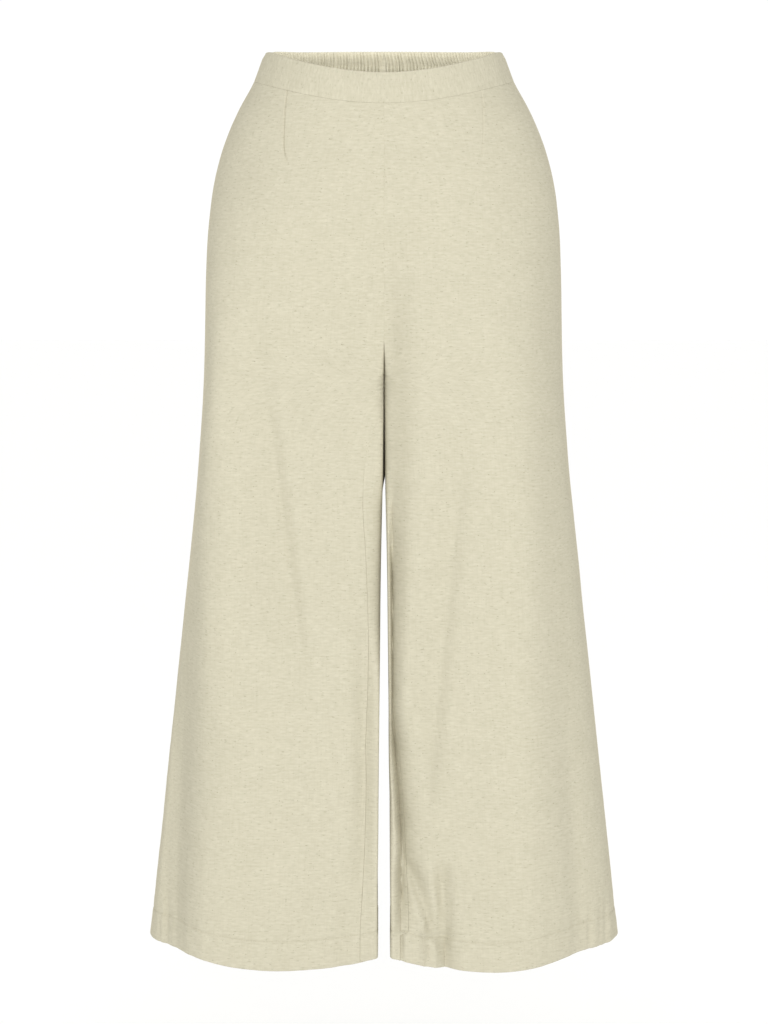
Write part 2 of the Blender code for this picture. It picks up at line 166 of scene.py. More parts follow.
# A column of a table read at any values of its first column, on a cubic through the rows. The
# slope at a row is the weighted mean of those beside it, and nought beside two equal rows.
def curve(table, column, at, rows=None):
    rows = np.array(sorted(rows or table["rows"]))
    places, values = rows[:, 0], rows[:, table["columns"].index(column)]
    slopes = np.gradient(values, places)
    flat = np.diff(values) == 0.0
    slopes[:-1][flat] = 0.0
    slopes[1:][flat] = 0.0
    at = np.clip(at, places[0], places[-1])
    i = np.clip(np.searchsorted(places, at) - 1, 0, len(places) - 2)
    step = places[i + 1] - places[i]
    t = (at - places[i]) / step
    return (
        values[i] * (1 + 2 * t) * (1 - t) ** 2
        + values[i + 1] * t * t * (3 - 2 * t)
        + slopes[i] * step * t * (1 - t) ** 2
        + slopes[i + 1] * step * t * t * (t - 1)
    )


# 0 at start, 1 at end, and 3t2 - 2t3 between them.
def ramp(value, start, end):
    t = np.clip((value - start) / (end - start), 0.0, 1.0)
    return t * t * (3 - 2 * t)


# A bell: 1 on its middle line, e to the minus square of the distance over its reach beside it.
def bell(distance, reach):
    return np.exp(-((distance / reach) ** 2))


# A mound of a height at a place, on a bell with a reach.
def mound(distance, height, place, reach):
    return height * bell(distance - place, reach)


# A sharp valley: 1 on its middle line, less by the square law as far as its reach.
def crease(distance, reach):
    return np.maximum(1 - np.abs(distance) / reach, 0.0) ** 2


# Uneven waves: the weighted mean of sines whose lengths stand in no simple ratio, each started
# anew by the seed.
def drift(x, length, seed):
    turns = 2 * math.pi * np.asarray(x) / length
    return (
        np.sin(turns + 1.7 * seed)
        + 0.7 * np.sin(1.618 * turns + 2.9 * seed + 1.0)
        + 0.5 * np.sin(2.414 * turns + 4.3 * seed + 2.0)
    ) / 2.2


# Uneven waves of a height.
def waves(x, height, length, seed):
    return height * drift(x, length, seed)


# How finely the form is charted.
charting = {
    "top": 26.0,
    "bottom": -948.0,
    "step": 1.25,  # from one section to the next
    "quarter": 110,  # points on each quarter of a section
    "shares": 321,  # places from seam to seam
    "normalStep": 0.6,  # a direction is taken over this distance on each side of its place
    "rowSpace": 10.0,  # between rows that are read in one go
}


# How far the centre seam lies inside its face's crest: an arc turned by forkTurn, stretched to
# the height and depth of the fork.
def forkDepth(z, face):
    start = cut["forkStart"][face]
    crotchY = cut["crotchY"] if face == "front" else -cut["crotchY"]
    whole = curve(form, face, cut["crotch"]) + crotchY
    share = np.clip((start - z) / (start - cut["crotch"]), 0.0, 1.0)
    turned = np.arcsin(share * math.sin(cut["forkTurn"]))
    return whole * (1 - np.cos(turned)) / (1 - math.cos(cut["forkTurn"]))


# Half the space between the legs. Above the fork the two sides meet on the centre plane.
def gapAt(z):
    return curve(form, "gap", z) * ramp(z, cut["crotch"] + cut["legsPart"], cut["crotch"])


# One face of the section at each height, from its inner end to the side, for the +X leg: two
# quarters of superellipses, (x/a)^p + (y/b)^p = 1, that meet on the crest.
def halfOutline(z, side, face):
    sign = -1.0 if face == "front" else 1.0
    depth, width, gap = curve(form, face, z), curve(form, "side", z), gapAt(z)
    crest = np.maximum(curve(form, face + "Crest", z), gap)
    corner = curve(form, face + "Corner", z)
    legY = np.maximum(cut["crotchY"], curve(form, "frontCorner", z) - curve(form, "front", z))
    fork = forkDepth(z, face)
    ease = cut["cornerEase"]
    shrunk = corner * (1 - (1 - np.minimum(fork / corner / ease, 1.0)) ** ease)
    torso = z > cut["crotch"]
    innerY = np.where(torso, sign * (depth - fork), legY)
    corner = np.where(torso, shrunk, corner)
    angle = np.linspace(0.0, math.pi / 2, charting["quarter"])[None]
    inner = 2 / curve(corners, "inner" + face.capitalize(), z, corners[side])[:, None]
    outer = 2 / curve(corners, "outer" + face.capitalize(), z, corners[side])[:, None]
    reach, drop = (crest - gap)[:, None], (sign * corner)[:, None]
    x = np.hstack((
        gap[:, None],
        crest[:, None] - reach * np.cos(angle) ** inner,
        crest[:, None] + (width - crest)[:, None] * np.sin(angle[:, 1:]) ** outer,
    ))
    y = np.hstack((
        innerY[:, None],
        (sign * (depth - corner))[:, None] + drop * np.sin(angle) ** inner,
        (sign * depth)[:, None] * np.cos(angle[:, 1:]) ** outer,
    ))
    return x, y


# Values on rising places read at other places, row by row: the rows are laid end to end, with a
# space between them, and read in one go.
def readAlong(places, values, at):
    lowest = np.minimum(places.min(), at.min())
    whole = max(places.max(), at.max()) - lowest + charting["rowSpace"]
    shift = np.arange(len(places))[:, None] * whole
    at = np.clip(at, places[:, :1], places[:, -1:])
    return np.interp((at + shift).ravel(), (places + shift).ravel(), values.ravel()).reshape(at.shape)


# The whole outline of one side: front, then back, then the start of the front once more, with
# the distance along it, and the places on it of the inseam, the side seam and the back's end.
def outline(z, side):
    count = charting["quarter"]
    frontX, frontY = halfOutline(z, side, "front")
    backX, backY = halfOutline(z, side, "back")
    x = np.hstack((frontX, backX[:, -2::-1], frontX[:, 1:count + 1]))
    y = np.hstack((frontY, backY[:, -2::-1], frontY[:, 1:count + 1]))
    steps = np.hypot(np.diff(x), np.diff(y)) + tiny
    along = np.hstack((np.zeros((len(z), 1)), np.cumsum(steps, axis=1)))
    reach = curve(form, "gap", z) + curve(inseams, side, z)
    inseam = readAlong(frontX[:, 1:count], along[:, 1:count], reach[:, None])[:, 0]
    # below the crotch point the inseam swings round to its place on the front
    swing = np.clip((cut["crotch"] - z) / cut["swing"], 0.0, 1.0)
    inseam = inseam * (1 - (1 - swing) ** 2)
    sideSeam = along[:, frontX.shape[1] - 1] + cut["sideSeamBack"]
    end = along[:, frontX.shape[1] + backX.shape[1] - 2]
    return along, x, y, inseam, sideSeam, end


# A chart of one face's form: the point and the outward direction, a quarter turn from the line of
# the section, on even steps of height and of share, from the inner seam, 0, to the side seam, 1.
def chartOf(side, face):
    z = np.arange(charting["top"], charting["bottom"], -charting["step"])
    along, x, y, inseam, sideSeam, end = outline(z, side)
    share = np.linspace(0.0, 1.0, charting["shares"])[None]
    if face == "front":
        place = inseam[:, None] + share * (sideSeam - inseam)[:, None]
    else:
        place = (end + inseam)[:, None] - share * (end + inseam - sideSeam)[:, None]
    ahead, behind = place + charting["normalStep"], place - charting["normalStep"]
    tangentX = readAlong(along, x, ahead) - readAlong(along, x, behind)
    tangentY = readAlong(along, y, ahead) - readAlong(along, y, behind)
    size = np.hypot(tangentX, tangentY) + tiny
    return {
        "length": np.abs(place[:, -1] - place[:, 0]),
        "x": readAlong(along, x, place),
        "y": readAlong(along, y, place),
        "outX": tangentY / size,
        "outY": -tangentX / size,
    }


# A chart read between its steps: the four values round each place, weighted by nearness. A
# length has no share, so it takes the two values above and below.
def readChart(chart, name, z, t=None):
    values = chart[name]
    row = np.clip((charting["top"] - z) / charting["step"], 0, len(values) - 1.001)
    i = row.astype(int)
    if t is None:
        return values[i] + (values[i + 1] - values[i]) * (row - i)
    column = np.clip(t, 0.0, 1.0) * (values.shape[1] - 1)
    j = np.minimum(column.astype(int), values.shape[1] - 2)
    a, b = row - i, column - j
    upper = values[i, j] * (1 - b) + values[i, j + 1] * b
    lower = values[i + 1, j] * (1 - b) + values[i + 1, j + 1] * b
    return upper * (1 - a) + lower * a


charts = {(side, face): chartOf(side, face) for side in sides for face in ("front", "back")}
print("form charted")


# Between the thighs the inner walls lean to the wearer's left. Each pair is where the lean sets
# in and where it is whole, down from the top, up from the bottom, in depth and towards the centre.
leaning = {
    "shift": 4.0,
    "top": (-270.0, -295.0),
    "bottom": (-439.0, -409.0),
    "depth": (-70.0, 10.0),
    "centre": (40.0, 5.0),
}


# Sideways shift of the inner walls, which closes the view through the slit: the whole shift times
# a ramp for each pair.
def lean(x, y, z):
    return (
        leaning["shift"] * ramp(z, *leaning["bottom"]) * ramp(z, *leaning["top"])
        * ramp(y, *leaning["depth"]) * ramp(x, *leaning["centre"])
    )


# Height of the waist's lines above their level at the sides: a cosine, to a power at the front.
def waistOffset(face, t):
    turn = np.cos(np.clip(t, 0.0, 1.0) * math.pi / 2)
    return -cut["frontDip"] * turn ** cut["dipPower"] if face == "front" else cut["backRise"] * turn


# True height of a place on the row that meets the side seam at a level: the dip of the waist
# fades out below it by the square law, and the line of the hem fades in to its power.
def rowHeight(level, side, face, t):
    nearWaist = np.maximum(1 - (cut["waistSeam"] - level) / cut["waistFade"], 0.0)
    z = level + waistOffset(face, t) * nearWaist ** 2
    x = readChart(charts[side, face], "x", level, t)
    width, gap = curve(form, "side", level), curve(form, "gap", level)
    nearHem = np.maximum(1 - (level - cut["hem"]) / cut["hemFade"], 0.0) ** cut["hemPower"]
    return z + nearHem * curve(hemLine, "rise", (x - gap) / (width - gap))


# Points at a distance outside the form, in metres: the form's point plus distance times its
# outward direction, shifted in depth, dropped, and mirrored for the wearer's right.
def pointsAt(side, face, z, t, distance, drop, shift=0.0):
    chart = charts[side, face]
    x, y = readChart(chart, "x", z, t), readChart(chart, "y", z, t)
    px = x + readChart(chart, "outX", z, t) * distance
    py = y + readChart(chart, "outY", z, t) * distance
    return np.stack((sides[side] * px + lean(px, py, z), py + shift, z - drop), axis=-1) * mm


# Quads from four grids that hold the point numbers of their corners.
def quadsOf(*cornerGrids):
    return np.stack(cornerGrids, axis=-1).reshape(-1, 4)


# A piece from points in metres and quads, with a map for the cloth's or thread's pattern. Where
# the volume inside, the sum of a.(b x c) + a.(c x d) over the quads, is negative, they are turned
# round to face outwards. Edges that turn by more than sharp, in degrees, are shaded as edges.
def addMesh(name, points, faces, weave, material, sharp):
    a, b, c, d = (points[faces[:, k]] for k in range(4))
    volume = np.einsum("ij,ij->", a, np.cross(b, c)) + np.einsum("ij,ij->", a, np.cross(c, d))
    if volume < 0:
        faces = faces[:, ::-1]
    mesh = bpy.data.meshes.new(name)
    mesh.from_pydata(points.tolist(), [], faces.tolist())
    layer = mesh.uv_layers.new(name="weave")
    corner = np.empty(len(mesh.loops), dtype=np.int32)
    mesh.loops.foreach_get("vertex_index", corner)
    layer.data.foreach_set("uv", weave[corner].astype(np.float32).ravel())
    mesh.shade_smooth()
    mesh.set_sharp_from_angle(angle=math.radians(sharp))
    mesh.materials.append(material)
    piece = bpy.data.objects.new(name, mesh)
    bpy.context.scene.collection.objects.link(piece)
    print(name, len(mesh.polygons) * 2, "triangles")
    return piece


# A closed shell from two grids of points, the outer and the inner skin, with a rim round the
# edge. Both skins have the same map.
def addShell(name, outer, inner, weave, material, sharp):
    count = outer[..., 0].size
    index = np.arange(count).reshape(outer.shape[:2])
    skin = quadsOf(index[:-1, :-1], index[:-1, 1:], index[1:, 1:], index[1:, :-1])
    edge = np.concatenate((index[0, :-1], index[:-1, -1], index[-1, :0:-1], index[:0:-1, 0]))
    after = np.roll(edge, -1)
    rim = quadsOf(edge, edge + count, after + count, after)
    points = np.concatenate((outer.reshape(-1, 3), inner.reshape(-1, 3)))
    faces = np.concatenate((skin, skin[:, ::-1] + count, rim))
    return addMesh(name, points, faces, np.concatenate([weave.reshape(-1, 2)] * 2), material, sharp)


# An sRGB hex value as linear red, green and blue, with an alpha of 1.
def linearColour(code):
    parts = np.array([int(code[k:k + 2], 16) for k in (1, 3, 5)]) / 255
    return (*np.where(parts <= 0.04045, parts / 12.92, ((parts + 0.055) / 1.055) ** 2.4), 1.0)


# A node with its settings, and its sockets, by name or as i and a number, set to values or linked
# to other nodes' outputs.
def addNode(tree, kind, settings=None, **inputs):
    node = tree.nodes.new(kind)
    for name, value in (settings or {}).items():
        setattr(node, name, value)
    for key, value in inputs.items():
        byNumber = key[0] == "i" and key[1:].isdigit()
        socket = node.inputs[int(key[1:]) if byNumber else key.replace("_", " ")]
        if isinstance(value, bpy.types.NodeSocket):
            tree.links.new(value, socket)
        else:
            socket.default_value = value
    return node


# A new material, its node tree and its surface, with the surface's own sockets set by name.
def startMaterial(name, **values):
    material = bpy.data.materials.new(name)
    material.use_nodes = True
    surface = material.node_tree.nodes["Principled BSDF"]
    for key, value in values.items():
        surface.inputs[key.replace("_", " ")].default_value = value
    return material, material.node_tree, surface


# Woven blend of linen and viscose in plain weave, unbleached: pale, dry and matt, with long
# uneven thickenings of the weft, fainter ones of the warp, short dark flecks of bast and a few
# specks. Each layer is noise drawn out to a length along the weft and a height across it, in
# mm; from low to high it mixes in its colour up to a share, and it lifts the yarn by its relief.
# Yarns of 0.5 to 1 mm are too fine to show, so their thickenings are drawn up to 2 mm high.
linenBlend = {
    "cloth": "#B9B4A0",
    "shade": "#A29D88",
    "pale": "#CCC8B6",
    "fleck": "#777260",
    "roughness": 0.88,
    "specular": 0.06,
    "sheen": 0.16,
    "sheenTint": "#EFE3C2",
    "sheenRoughness": 0.22,
    "bump": 0.35,
    "yarnHeight": 0.4,  # mm
    "noiseRoughness": 0.55,
    "crossStart": 1.7,  # a layer starts this many times further on across the weft
    "columns": ("length", "height", "detail", "start", "low", "high", "share", "colour", "relief"),
    "layers": (
        (9.0, 2.1, 1.0, 0.0, 0.5, 0.72, 0.18, "shade", 0.9),
        (9.0, 2.1, 1.0, 0.0, 0.46, 0.28, 0.18, "pale", 0.0),
        (4.4, 1.9, 1.0, 31.0, 0.45, 0.75, 0.15, "shade", 0.5),
        (46.0, 1.7, 1.5, 211.0, 0.5, 0.8, 0.12, "shade", 0.4),
        (1.6, 26.0, 1.0, 57.0, 0.48, 0.75, 0.12, "shade", 0.6),
        (38.0, 26.0, 2.0, 83.0, 0.35, 0.7, 0.1, "shade", 0.0),
        (5.5, 1.4, 0.0, 101.0, 0.77, 0.85, 0.26, "fleck", 0.0),
        (2.3, 1.7, 0.0, 143.0, 0.865, 0.9, 0.45, "fleck", 0.0),
    ),
}


# The linen's material: layer on layer is mixed into the cloth's colour, and the bump's height is
# the sum of each layer's noise times its relief.
def wovenLinen(name):
    material, tree, surface = startMaterial(
        name, Roughness=linenBlend["roughness"], Specular_IOR_Level=linenBlend["specular"],
        Sheen_Weight=linenBlend["sheen"], Sheen_Roughness=linenBlend["sheenRoughness"],
        Sheen_Tint=linearColour(linenBlend["sheenTint"]),
    )
    place = addNode(tree, "ShaderNodeUVMap", {"uv_map": "weave"}).outputs["UV"]
    colour, relief = linearColour(linenBlend["cloth"]), 0.0
    for row in linenBlend["layers"]:
        layer = dict(zip(linenBlend["columns"], row))
        drawn = addNode(
            tree, "ShaderNodeMapping", Vector=place,
            Location=(layer["start"], linenBlend["crossStart"] * layer["start"], 0.0),
            Scale=(1 / (layer["length"] * mm), 1 / (layer["height"] * mm), 1.0),
        )
        noise = addNode(
            tree, "ShaderNodeTexNoise", {"noise_dimensions": "2D"}, Vector=drawn.outputs[0],
            Scale=1.0, Detail=layer["detail"], Roughness=linenBlend["noiseRoughness"],
        )
        share = addNode(
            tree, "ShaderNodeMapRange", {"clamp": True},
            i0=noise.outputs[0], i1=layer["low"], i2=layer["high"], i3=0.0, i4=layer["share"],
        )
        mixed = addNode(
            tree, "ShaderNodeMix", {"data_type": "RGBA"},
            i0=share.outputs[0], i6=colour, i7=linearColour(linenBlend[layer["colour"]]),
        )
        lifted = addNode(
            tree, "ShaderNodeMath", {"operation": "MULTIPLY_ADD"},
            i0=noise.outputs[0], i1=layer["relief"], i2=relief,
        )
        colour, relief = mixed.outputs[2], lifted.outputs[0]
    bump = addNode(
        tree, "ShaderNodeBump",
        Strength=linenBlend["bump"], Distance=linenBlend["yarnHeight"] * mm, Height=relief,
    )
    tree.links.new(colour, surface.inputs["Base Color"])
    tree.links.new(bump.outputs[0], surface.inputs["Normal"])
    return material


# Spun polyester sewing thread, dyed to the cloth: a little smoother than it, with the slanting
# bands of its three twisted plies in its bump, painted shade in the grooves between them and a
# painted highlight on their crests.
threadLook = {
    # light is a painted highlight on the plies' crests, dark is painted shade in the grooves between them
    "light": "#C4BFAA",
    "dark": "#A39D87",
    "ply": 0.55,  # mm along the thread
    "slant": 3.0,
    "bandScale": 0.3,
    "roughness": 0.6,
    "specular": 0.2,
    "bump": 0.3,
    "plyHeight": 0.1,  # mm
}


# The thread's material: one wave across both of the map's directions lifts the plies and
# colours them, with painted shade where they are low and a painted highlight where they are raised.
def sewingThread(name):
    material, tree, surface = startMaterial(
        name, Roughness=threadLook["roughness"], Specular_IOR_Level=threadLook["specular"],
    )
    place = addNode(tree, "ShaderNodeUVMap", {"uv_map": "weave"}).outputs["UV"]
    slanted = addNode(
        tree, "ShaderNodeMapping", Vector=place, Scale=(1 / threadLook["ply"], threadLook["slant"], 1.0),
    )
    pliesAndPaintedShade = addNode(
        tree, "ShaderNodeTexWave", {"bands_direction": "DIAGONAL"},
        Vector=slanted.outputs[0], Scale=threadLook["bandScale"],
    ).outputs["Fac"]
    # painted light and shade: the lighter tone on the raised plies, the darker one in their grooves
    mixed = addNode(
        tree, "ShaderNodeMix", {"data_type": "RGBA"},
        i0=pliesAndPaintedShade, i6=linearColour(threadLook["dark"]), i7=linearColour(threadLook["light"]),
    )
    bump = addNode(
        tree, "ShaderNodeBump",
        Strength=threadLook["bump"], Distance=threadLook["plyHeight"] * mm, Height=pliesAndPaintedShade,
    )
    tree.links.new(mixed.outputs[2], surface.inputs["Base Color"])
    tree.links.new(bump.outputs[0], surface.inputs["Normal"])
    return material


# Lockstitches, in mm: each is a thin rod that dips into the cloth at both ends. The thread, really
# 0.3 mm thick, is drawn at 0.5 mm so that it shows. Places are shares of the stitch's length from
# its middle, and fatness and height are shares of the radius there.
thread = {
    "pitch": 3.2,
    "length": 2.7,
    "radius": 0.25,
    "places": np.array((-0.5, -0.38, 0.0, 0.38, 0.5)),
    "fatness": np.array((0.5, 0.9, 1.0, 0.9, 0.5)),
    "height": np.array((-0.9, 0.1, 0.5, 0.1, -0.9)),
    "sides": 6,
    "endQuads": ((3, 2, 1, 0), (5, 4, 3, 0)),
    "sharp": 60.0,
}
hemStitches = {side: [] for side in sides}
casingStitches = []


# A row of a grid of points at a broken row number: the two rows beside it, weighted by nearness.
def gridRow(grid, row):
    i = min(int(row), len(grid) - 2)
    return grid[i] * (1 - (row - i)) + grid[i + 1] * (row - i)


# Stitches along a path of points, in metres, on cloth that faces outwards along out: rings of
# points round each rod, at their places along it, joined by quads and closed by two at each end.
def stitchRow(path, out):
    along = np.concatenate(([0.0], np.cumsum(np.linalg.norm(np.diff(path, axis=0), axis=1)))) / mm
    middle = np.arange(thread["pitch"], along[-1] - thread["pitch"], thread["pitch"])
    places = middle[:, None] + thread["places"][None] * thread["length"]
    centre = np.stack([np.interp(places, along, path[:, k]) for k in range(3)], axis=-1)
    up = np.stack([np.interp(places, along, out[:, k]) for k in range(3)], axis=-1)
    up = up / np.linalg.norm(up, axis=-1, keepdims=True)
    forward = (centre[:, -1] - centre[:, 0])[:, None]
    sideways = np.cross(forward, up)
    sideways = sideways / np.linalg.norm(sideways, axis=-1, keepdims=True)
    angle = 2 * math.pi * np.arange(thread["sides"])[None, None, :, None] / thread["sides"]
    radius = thread["radius"] * mm * thread["fatness"][None, :, None, None]
    middleLine = centre + up * (thread["height"] * thread["radius"] * mm)[None, :, None]
    turned = np.cos(angle) * sideways[:, :, None] + np.sin(angle) * up[:, :, None]
    points = middleLine[:, :, None] + radius * turned
    grid = points.shape[:3]
    index = np.arange(math.prod(grid)).reshape(grid)
    following = np.roll(index, -1, axis=2)
    walls = quadsOf(index[:, :-1], following[:, :-1], following[:, 1:], index[:, 1:])
    start, end = index[:, 0], index[:, -1, ::-1]
    caps = [ring[:, quad] for ring in (start, end) for quad in thread["endQuads"]]
    turns = np.broadcast_to(angle[..., 0] / (2 * math.pi), grid)
    weave = np.stack((np.broadcast_to(places[:, :, None], grid), turns), axis=-1)
    return points.reshape(-1, 3), np.concatenate((walls, *caps)), weave.reshape(-1, 2)


# Rows of stitches joined to one piece, which is sewn to a node of the part.
def addStitches(name, rows, material):
    points, faces, weave = zip(*rows)
    starts = np.cumsum([0] + [len(row) for row in points[:-1]])
    faces = np.concatenate([row + start for row, start in zip(faces, starts)])
    piece = addMesh(name, np.concatenate(points), faces, np.concatenate(weave), material, thread["sharp"])
    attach(piece, "root")


# Panels, in mm but for the flat size of the cut, which is in metres.
panelSizes = {
    "cloth": 1.1,  # thickness
    "turnUp": 33.0,  # depth of the turned-up hem
    "foldRise": 2.0,  # the rows of both layers end this far above the hem's fold
    "slit": 0.35,  # air between the two layers
    "stitchIn": 1.6,  # from the turned-up edge to its row of stitches
    "seamRoll": 0.7,  # width over which an edge turns in at a seam
    "seamDepth": 0.5,  # how deep it turns in,
    "centreSeamDepth": 0.14,  # and how deep at the waist and the centre seams
    "seamDeepens": (-400.0, -450.0),  # the inner seams go from one depth to the other
    "innerShare": 0.35,  # share of the depth that shows on the inner skin
    "weaveShift": 700.0,  # so that no two panels have the same stretch of cloth
    "seeds": {"right": 0.0, "left": 3.0, "front": 0.0, "back": 7.0},
    "sharp": 50.0,
    "flat": {"front": (0.30, 0.955), "back": (0.48, 0.955)},
    "held": {"front": "hung", "back": "gathered"},
}

# Rows and columns of the panels. Distances are from the waist or a seam inwards, or from a dart
# to either side of it; the back's corner columns are its first, last and step.
panelGrid = {
    "waistRows": np.array((0.0, 0.12, 0.35, 0.7, 1.1, 1.6, 2.4, 3.6, 5.4, 7.5)),
    "seatRows": 75,
    "forkRows": 40,
    "forkFirst": 0.05,
    "legRows": 125,
    "hemRows": 35,
    "hemFrom": 52.0,  # the hem's closer rows begin this far above it
    "bendRows": 9,
    "turnUpRows": 12,
    "seamColumns": np.array((0.0, 0.12, 0.35, 0.7, 1.1, 1.6, 2.4, 3.6, 5.0)),
    "cornerColumns": (6.3, 34.0, 1.3),
    "dartColumns": np.array(
        (-4.5, -3.2, -2.2, -1.5, -1.0, -0.65, -0.35, 0.0, 0.35, 0.65, 1.0, 1.5, 2.2, 3.2, 4.5)
    ),
    "columns": {"front": 106, "back": 96},
}

# Darts of the front panels: a pressed groove with a lip on its outer side and a dimple at its tip,
# each the height, place and reach of a mound across the dart.
darts = {
    "length": 82.0,
    "top": 0.505,  # share of the way from the centre seam to the side seam
    "tip": {"right": 0.44, "left": 0.425},
    "hook": {"right": 4.0, "left": 0.0},
    "hookFrom": 0.8,  # share of the dart's length at which the hook sets in
    "hookLimit": 1.6,
    "fade": (4.0, -6.0),  # distances past the tip at which it ends and at which it is whole
    "groove": {"right": (-1.0, 0.0, 0.7), "left": (-0.45, 0.0, 0.7)},
    "lip": (0.35, 2.2, 2.2),
    "dimple": (-0.5, 0.0, 7.0),
    "dimpleLength": 9.0,
}


# Share at which a dart lies: a straight line from the waist to its tip, which hooks back towards
# the centre by the square law over the last part.
def dartShare(level, length, side):
    down = (cut["waistSeam"] - level) / darts["length"]
    bent = np.clip((down - darts["hookFrom"]) / (1 - darts["hookFrom"]), 0.0, darts["hookLimit"]) ** 2
    straight = (darts["tip"][side] - darts["top"]) * np.clip(down, 0.0, 1.0)
    return darts["top"] + straight - darts["hook"][side] * bent / length


# Height of the cloth at a distance outside a dart: its mounds, the dimple's also on a bell along it.
def dartRelief(off, below, side):
    end, whole = darts["fade"]
    fade = ramp(below, darts["length"] + end, darts["length"] + whole)
    dimple = mound(off, *darts["dimple"]) * bell(below - darts["length"], darts["dimpleLength"])
    return (mound(off, *darts["groove"][side]) + mound(off, *darts["lip"])) * fade + dimple


# Soft folds and sharp valleys, listed for each side and face: a line from x at one height
# to x at another, the reach of its flanks towards the inside and the outside of the leg, its
# height, negative in a trough, and the shares of its length over which it fades in and out. All
# die away towards the garment's middle depth.
folds = {
    "columns": (
        "zTop", "zBottom", "xTop", "xBottom", "inner", "outer", "height", "fadeIn", "fadeOut",
    ),
    "soft": {
        ("right", "front"): (
            (-130.0, -650.0, 0.0, 0.0, 60.0, 160.0, -20.0, 0.31, 0.4),
            (-200.0, -690.0, 137.0, 74.0, 10.0, 38.0, -8.5, 0.4, 0.35),
            (-430.0, -1060.0, 174.0, 186.0, 45.0, 18.0, 8.5, 0.2, 0.1),
            (-225.0, -610.0, 175.0, 208.0, 6.0, 12.0, -9.0, 0.25, 0.3),
            (-435.0, -980.0, 198.0, 221.0, 11.0, 16.0, -19.0, 0.3, 0.25),
            (-520.0, -960.0, 19.0, 21.0, 8.0, 10.0, -7.5, 0.3, 0.5),
            (-760.0, -1120.0, 24.0, 64.0, 9.0, 12.0, -3.0, 0.3, 0.1),
            (-720.0, -1120.0, 222.0, 238.0, 5.0, 7.0, -3.5, 0.3, 0.1),
        ),
        ("left", "front"): (
            (-130.0, -650.0, 0.0, 0.0, 60.0, 22.0, -20.0, 0.31, 0.4),
            (-280.0, -650.0, 4.0, 8.0, 12.0, 24.0, -4.0, 0.3, 0.4),
            (-800.0, -905.0, 22.0, 59.0, 5.0, 10.0, -8.0, 0.25, 0.3),
            (-780.0, -1010.0, 57.0, 67.0, 7.0, 9.0, -9.0, 0.25, 0.2),
            (-340.0, -830.0, 82.0, 33.0, 24.0, 10.0, -7.0, 0.3, 0.3),
            (-70.0, -1066.0, 142.0, 144.0, 60.0, 30.0, 9.0, 0.2, 0.1),
            (-178.0, -1000.0, 154.0, 228.0, 30.0, 19.0, -6.5, 0.3, 0.1),
            (-598.0, -1113.0, 180.0, 217.0, 12.0, 12.0, -5.0, 0.4, 0.1),
        ),
        ("right", "back"): (
            (-330.0, -760.0, 120.0, 92.0, 24.0, 24.0, -4.0, 0.4, 0.3),
            (-480.0, -1060.0, 60.0, 74.0, 22.0, 22.0, 3.5, 0.4, 0.2),
            (-620.0, -1060.0, 172.0, 190.0, 20.0, 20.0, -3.5, 0.4, 0.2),
        ),
        ("left", "back"): (
            (-350.0, -800.0, 104.0, 84.0, 24.0, 24.0, -4.0, 0.4, 0.3),
            (-520.0, -1060.0, 152.0, 176.0, 22.0, 22.0, 3.0, 0.4, 0.2),
            (-640.0, -1060.0, 66.0, 60.0, 20.0, 20.0, -3.0, 0.4, 0.2),
        ),
    },
    "sharp": {
        ("left", "front"): (
            (-395.0, -715.0, 8.0, 8.5, 6.0, 18.0, -15.5, 0.45, 0.25),
            (-640.0, -830.0, 7.3, 21.0, 7.0, 28.0, -21.5, 0.3, 0.35),
            (-775.0, -930.0, 17.4, 17.4, 10.0, 36.0, -19.0, 0.3, 0.75),
        ),
    },
    "middleFade": 40.0,
}


# Shift forwards or backwards by the folds of one side: across each, a bell or a crease with a
# reach of its own on either flank; along it, the height ramps in and out.
def foldShift(side, x, y, z):
    total = np.zeros_like(x)
    for kind, profile in (("soft", bell), ("sharp", crease)):
        for face, there in (("front", y < 0), ("back", y >= 0)):
            for row in folds[kind].get((side, face), ()):
                fold = dict(zip(folds["columns"], row))
                share = (fold["zTop"] - z) / (fold["zTop"] - fold["zBottom"])
                off = x - fold["xTop"] - (fold["xBottom"] - fold["xTop"]) * share
                flank = np.where(off < 0, fold["inner"], fold["outer"])
                length = ramp(share, 0.0, fold["fadeIn"]) * ramp(share, 1.0, 1.0 - fold["fadeOut"])
                total += fold["height"] * profile(off, flank) * length * there
    return total * np.sign(y) * ramp(np.abs(y), 0.0, folds["middleFade"])


# Unevenness of hanging cloth, in mm: slanting waves across and down, and puckers at the seams.
unevenness = {
    "height": 0.45,
    "across": 130.0,
    "acrossSlant": 0.35,
    "down": 210.0,
    "downSlant": -0.2,
    "waistFade": 60.0,
    "pucker": 0.28,
    "puckerLength": 26.0,
    "innerReach": 14.0,
    "innerEnd": (60.0, 90.0),  # above the crotch point, where the centre seams' puckers end
    "sideReach": 12.0,
    "puckerFade": 20.0,
}


# Height of the cloth by its unevenness: waves times a drift, plus waves down each seam times a
# bell, both on a ramp below the waist.
def clothRelief(at, seed):
    size = unevenness
    across = waves(at["x"] + size["acrossSlant"] * at["z"], size["height"], size["across"], seed)
    down = drift(at["z"] + size["downSlant"] * at["x"], size["down"], seed + 1)
    end, whole = (cut["crotch"] + above for above in size["innerEnd"])
    beside = bell(at["fromInner"], size["innerReach"]) * ramp(at["z"], end, whole)
    beside = beside + bell(at["fromSide"], size["sideReach"])
    pucker = waves(at["z"], size["pucker"], size["puckerLength"], seed + 2) * beside
    wander = across * down * ramp(at["below"], 0.0, size["waistFade"])
    return wander + pucker * ramp(at["below"], 0.0, size["puckerFade"])


